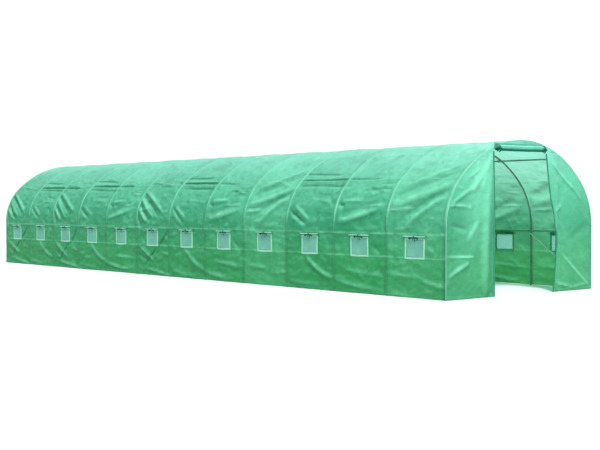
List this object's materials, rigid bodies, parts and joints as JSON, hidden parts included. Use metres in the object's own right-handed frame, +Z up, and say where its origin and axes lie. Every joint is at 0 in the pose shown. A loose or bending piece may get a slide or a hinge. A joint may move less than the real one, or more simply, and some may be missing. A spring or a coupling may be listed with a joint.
{
  "type": "polytunnel greenhouse",
  "caption": "Long walk-in tunnel greenhouse: bent tube hoops under a green sheet cover, mesh windows with rolled flaps down both sides and a roll-up door at the front.",
  "frame": {"origin": "centre of the footprint, on the ground", "axes": "+Z up, Y along the tunnel with the open doorway at -Y, X across it"},
  "size_m": [3.0674, 12.0859, 1.9998],
  "materials": {
    "steel_tube": "thin-walled galvanised steel tube, dull zinc with a greenish cast",
    "green_sheet": "translucent green woven polyethylene sheet, satin",
    "dark_trim": "dark green webbing and zip tape",
    "insect_mesh": "pale grey-green insect mesh",
    "pale_binding": "pale mint binding tape"
  },
  "bodies": {
    "root": {"hoop_01": "steel_tube", "hoop_02": "steel_tube", "hoop_03": "steel_tube", "hoop_04": "steel_tube", "hoop_05": "steel_tube", "hoop_06": "steel_tube", "hoop_07": "steel_tube", "hoop_08": "steel_tube", "hoop_09": "steel_tube", "hoop_10": "steel_tube", "hoop_11": "steel_tube", "hoop_12": "steel_tube", "hoop_13": "steel_tube", "ridge_purlin": "steel_tube", "shoulder_purlin_left": "steel_tube", "shoulder_purlin_right": "steel_tube", "waist_purlin_left": "steel_tube", "waist_purlin_right": "steel_tube", "front_corner_braces": "steel_tube", "rear_corner_braces": "steel_tube", "front_door_frame": "steel_tube", "rear_door_frame": "steel_tube", "side_cover_left": "green_sheet", "side_cover_right": "green_sheet", "shoulder_cover_left": "green_sheet", "shoulder_cover_right": "green_sheet", "crown_cover": "green_sheet", "front_panel_left": "green_sheet", "front_panel_right": "green_sheet", "front_head_panel": "green_sheet", "rear_panel_left": "green_sheet", "rear_panel_right": "green_sheet", "rear_head_panel": "green_sheet", "rear_door_curtain": "green_sheet", "door_roll": "green_sheet", "window_rolls_left": "green_sheet", "window_rolls_right": "green_sheet", "door_roll_ties": "dark_trim", "front_zip_tapes": "dark_trim", "rear_zip_tape": "dark_trim", "window_ties": "dark_trim", "window_mesh_left": "insect_mesh", "window_mesh_right": "insect_mesh", "window_bindings": "pale_binding"}
  },
  "joints": []
}
